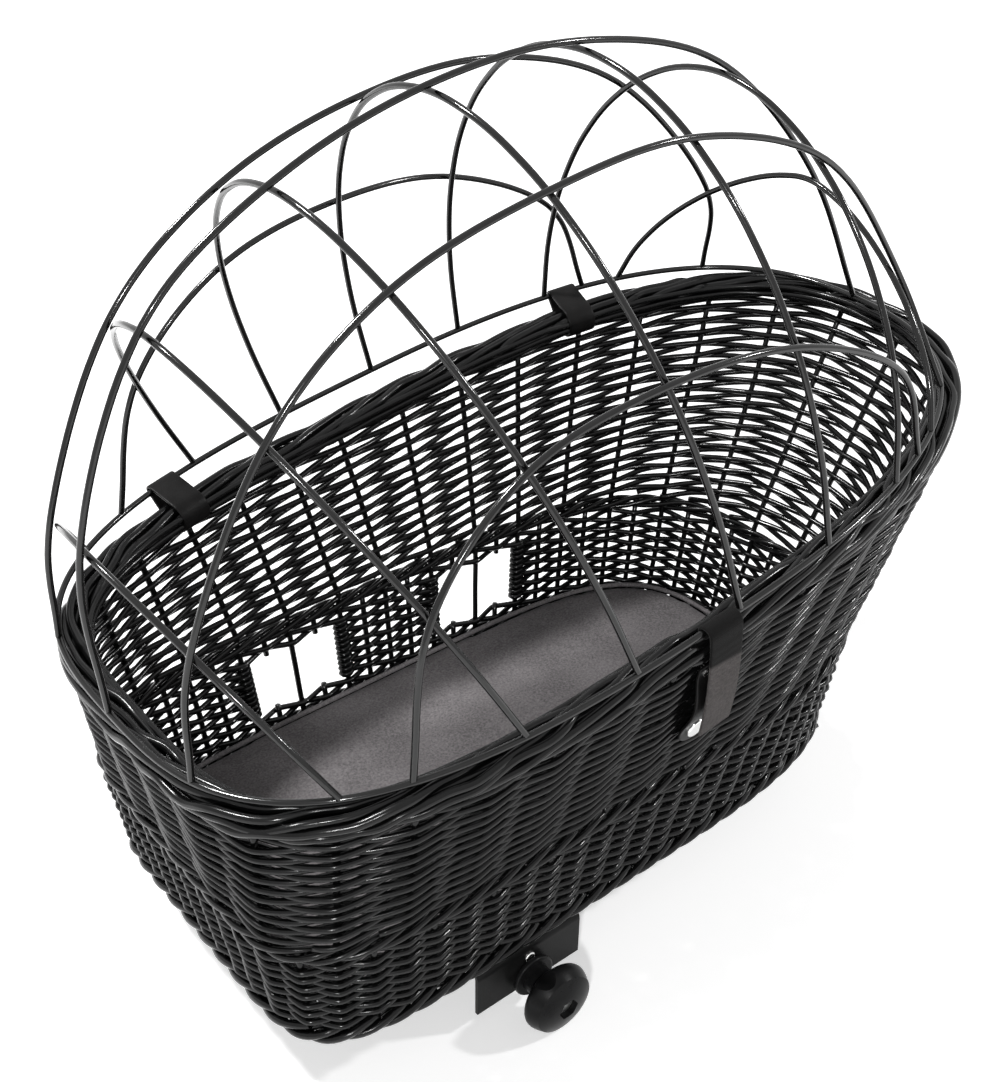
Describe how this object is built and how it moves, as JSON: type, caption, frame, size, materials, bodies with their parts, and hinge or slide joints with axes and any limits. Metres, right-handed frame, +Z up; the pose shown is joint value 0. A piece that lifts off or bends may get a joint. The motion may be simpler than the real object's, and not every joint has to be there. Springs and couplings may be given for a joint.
{
  "type": "dog bicycle basket",
  "caption": "Wicker dog basket for a bicycle carrier, with a hinged wire dome, leather strap closure, windows, cushion and a screw clamp under the floor.",
  "frame": {"origin": "middle of the underside of the carrier plate, between its two rail grips, on the face that rests on the bicycle carrier", "axes": "+X lengthwise towards the raised end, +Y towards the hinged side of the dome, +Z up; the strap and the clamp knob are on the -Y side"},
  "size_m": [0.6298, 0.3715, 0.5627],
  "materials": {
    "wicker": "glossy black lacquer",
    "cushion_fabric": "matt woven",
    "black_wire": "gloss black coating",
    "black_leather": "satin",
    "grey_felt": "matt",
    "black_steel": "satin black coating",
    "zinc_steel": "zinc plated",
    "bright_metal": "polished",
    "black_plastic": "fine satin"
  },
  "bodies": {
    "basket": {"foot_border": "wicker", "woven_floor": "wicker", "lower_wall": "wicker", "window_stakes": "wicker", "waling_band": "wicker", "upper_wall": "wicker", "rim_border": "wicker", "cushion": "cushion_fabric", "closure_backing": "black_leather", "closure_stud": "bright_metal", "backing_rivets": "bright_metal", "hinge_loop_left": "black_leather", "hinge_loop_right": "black_leather", "carrier_plate": "black_steel", "backing_plate": "zinc_steel", "plate_screws": "zinc_steel", "sleeve_nuts": "zinc_steel", "clamp_nut": "zinc_steel", "guide_pin": "bright_metal"},
    "dome": {"dome_ring": "black_wire", "cross_hoop_1": "black_wire", "cross_hoop_2": "black_wire", "cross_hoop_3": "black_wire", "cross_hoop_4": "black_wire", "cross_hoop_5": "black_wire", "cross_hoop_6": "black_wire", "cross_hoop_7": "black_wire", "long_hoop_centre": "black_wire", "long_hoop_near_high": "black_wire", "long_hoop_far_high": "black_wire", "long_hoop_near_low": "black_wire", "long_hoop_far_low": "black_wire"},
    "strap": {"closure_strap": "black_leather", "closure_facing": "grey_felt"},
    "jaw": {"clamp_jaw": "black_steel", "screw_clip": "zinc_steel"},
    "knob": {"clamp_screw": "zinc_steel", "knob_collar": "black_plastic", "star_knob": "black_plastic"}
  },
  "joints": [
    {"name": "dome_hinge", "type": "hinge", "parent": "basket", "child": "dome", "pos_m": [-0.1745, 0.17217, 0.22028], "axis": [-0.9926, 0.0159, -0.1207], "range_deg": [0, 95]},
    {"name": "strap_swing", "type": "hinge", "parent": "dome", "child": "strap", "pos_m": [-0.0165, -0.17879, 0.23949], "axis": [-0.9927, 0, -0.1207], "range_deg": [-95.5, 0.5], "deforming": ["closure_strap", "closure_facing"]},
    {"name": "jaw_slide", "type": "slide", "parent": "basket", "child": "jaw", "axis": [0, -1, 0], "range_m": [0, 0.00801]},
    {"name": "knob_spin", "type": "hinge", "parent": "jaw", "child": "knob", "pos_m": [-0.107, -0.132, -0.0255], "axis": [0, -1, 0], "range_deg": [0, 2307]}
  ],
  "couplings": [
    {"joint": "strap_swing", "follows": "dome_hinge", "ratio": -1},
    {"joint": "knob_spin", "follows": "jaw_slide", "rad_per_m": 5026.5}
  ]
}
